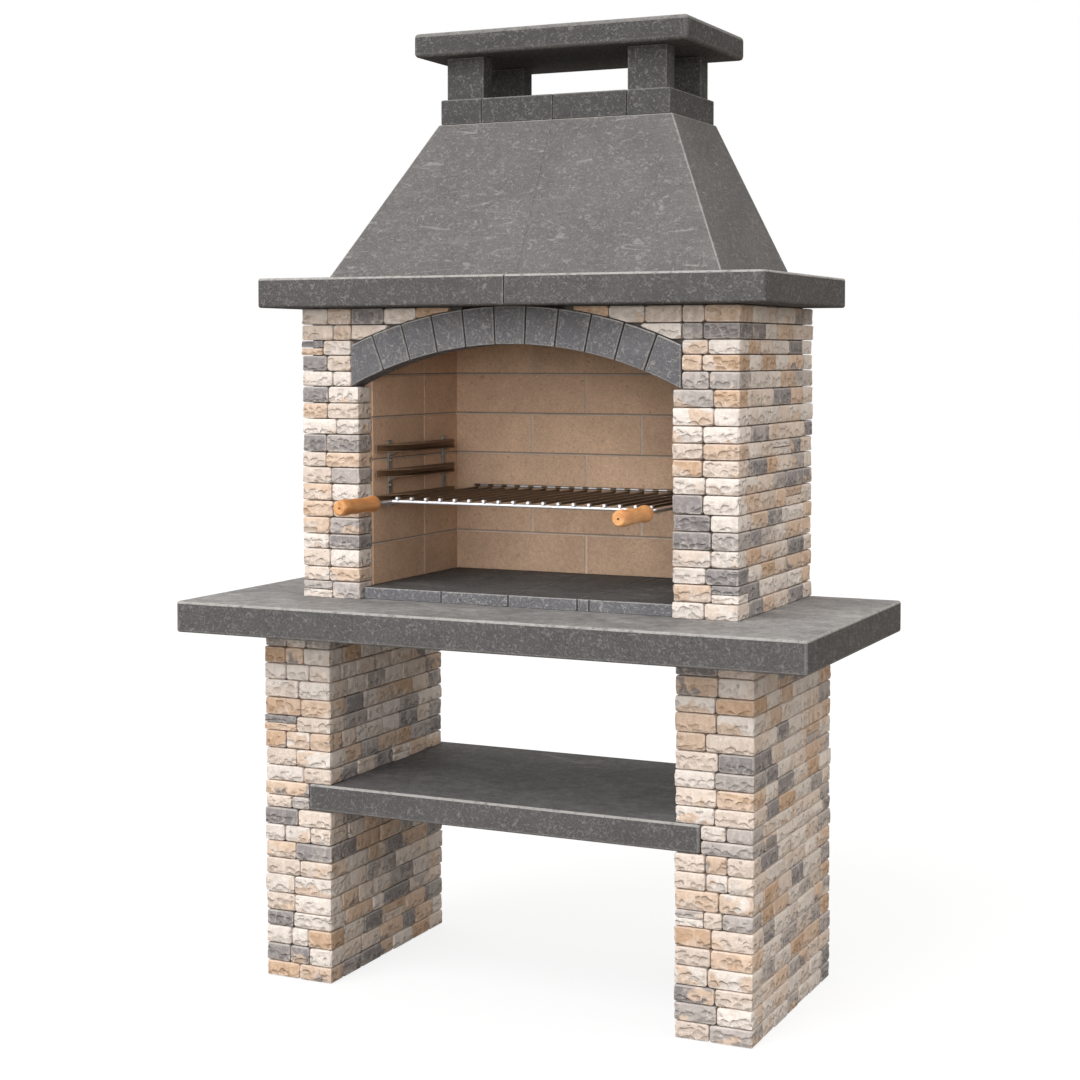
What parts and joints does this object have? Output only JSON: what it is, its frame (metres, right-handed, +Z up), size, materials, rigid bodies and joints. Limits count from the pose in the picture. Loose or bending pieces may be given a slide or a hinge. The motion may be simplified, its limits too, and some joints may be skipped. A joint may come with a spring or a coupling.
{
  "type": "masonry barbecue",
  "caption": "Masonry barbecue with stone-clad legs and pillars, cast worktop and shelf, brick-lined arched firebox, tapered hood with chimney cap, and a sliding grate.",
  "frame": {"origin": "on the floor under the middle of the overall box", "axes": "+X to the right seen from the front, +Y towards the back, +Z up"},
  "size_m": [1.53, 0.787, 2.24],
  "materials": {
    "cast_concrete": "matte",
    "hood_concrete": "matte",
    "cladding_stone": "matte",
    "concrete_block": "matte",
    "firebrick": "matte",
    "mortar": "matte",
    "dark_steel": "satin",
    "bright_steel": "polished",
    "turned_wood": "satin"
  },
  "bodies": {
    "masonry": {"back_firebricks": "firebrick", "back_mortar": "mortar", "cap_post_front_left": "cast_concrete", "cap_post_front_right": "cast_concrete", "cap_post_rear_left": "cast_concrete", "cap_post_rear_right": "cast_concrete", "cap_slab": "cast_concrete", "collar_front_blocks": "cast_concrete", "collar_left_end": "cast_concrete", "collar_rear_blocks": "cast_concrete", "collar_right_end": "cast_concrete", "hearth_filler_strip": "cast_concrete", "hearth_tile_1": "cast_concrete", "hearth_tile_2": "cast_concrete", "hearth_tile_3": "cast_concrete", "hearth_tile_4": "cast_concrete", "hood_left": "hood_concrete", "hood_right": "hood_concrete", "left_firebricks": "firebrick", "left_leg_core": "concrete_block", "left_leg_stones": "cladding_stone", "left_mortar": "mortar", "left_pillar_core": "concrete_block", "left_pillar_stones": "cladding_stone", "left_rails": "dark_steel", "left_spandrel_block": "concrete_block", "left_spandrel_stones": "cladding_stone", "lower_shelf": "cast_concrete", "mantel_left": "cast_concrete", "mantel_right": "cast_concrete", "rail_screws": "bright_steel", "rail_uprights": "dark_steel", "rear_plate": "concrete_block", "right_firebricks": "firebrick", "right_leg_core": "concrete_block", "right_leg_stones": "cladding_stone", "right_mortar": "mortar", "right_pillar_core": "concrete_block", "right_pillar_stones": "cladding_stone", "right_rails": "dark_steel", "right_spandrel_block": "concrete_block", "right_spandrel_stones": "cladding_stone", "voussoir_01": "cast_concrete", "voussoir_02": "cast_concrete", "voussoir_03": "cast_concrete", "voussoir_04": "cast_concrete", "voussoir_05": "cast_concrete", "voussoir_06": "cast_concrete", "voussoir_07": "cast_concrete", "voussoir_08": "cast_concrete", "voussoir_09": "cast_concrete", "voussoir_10": "cast_concrete", "voussoir_11": "cast_concrete", "worktop": "cast_concrete"},
    "grate": {"grate_bars": "bright_steel", "grate_cross_rods": "bright_steel", "grate_side_rods": "bright_steel", "left_handle": "turned_wood", "right_handle": "turned_wood"}
  },
  "joints": [
    {"name": "grate_slide", "type": "slide", "parent": "masonry", "child": "grate", "axis": [0, -1, 0], "range_m": [0, 0.52]}
  ]
}
